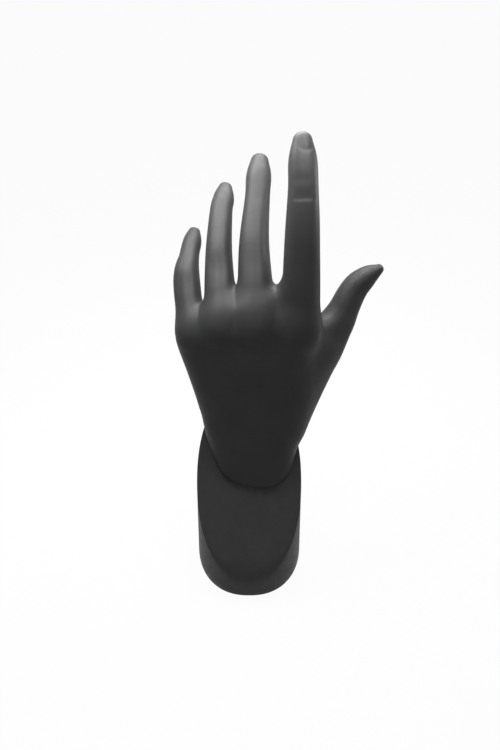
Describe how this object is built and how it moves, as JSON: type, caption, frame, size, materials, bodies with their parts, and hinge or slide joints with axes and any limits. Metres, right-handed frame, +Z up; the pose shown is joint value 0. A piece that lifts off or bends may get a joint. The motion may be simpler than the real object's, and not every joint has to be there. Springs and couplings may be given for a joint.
{
  "type": "hand mannequin",
  "caption": "Black display hand with an upright index finger, turning on the sloping face of a weighted oval stand, for showing rings, bracelets and watches.",
  "frame": {"origin": "middle of the felt pad's underside, on the table", "axes": "+Z up, -Y towards the viewer, who sees the back of the hand, and +X towards the thumb's side"},
  "size_m": [0.1115, 0.1351, 0.2317],
  "materials": {
    "hand_paint": "cast resin, satin black",
    "stand_paint": "moulded, satin black",
    "plate_plastic": "moulded, matte black",
    "steel": "zinc plated",
    "spring_steel": "oiled spring steel",
    "bush_brass": "turned",
    "iron": "as cast",
    "fibre": "pressed vulcanised fibre",
    "felt": "pressed wool felt"
  },
  "bodies": {
    "stand": {"stand": "stand_paint", "pivot_bush": "bush_brass", "ballast": "iron", "ballast_screw_1": "steel", "ballast_screw_2": "steel", "bottom_plate": "plate_plastic", "bottom_plate_screw_1": "steel", "bottom_plate_screw_2": "steel", "bottom_plate_screw_3": "steel", "bottom_plate_screw_4": "steel", "felt_pad": "felt"},
    "hand": {"hand": "hand_paint", "wrist_plate": "steel", "wrist_plate_screw_1": "steel", "wrist_plate_screw_2": "steel", "wrist_plate_screw_3": "steel", "pivot_bolt": "steel", "stop_pin": "steel", "friction_washer": "fibre", "thrust_washer": "steel", "spring_washer": "spring_steel", "lock_nut": "steel"}
  },
  "joints": [
    {"name": "hand_turn", "type": "hinge", "parent": "stand", "child": "hand", "pos_m": [0.00245, 0.01308, 0.07078], "axis": [0, -0.7071, 0.7071], "range_deg": [-90, 90]}
  ]
}
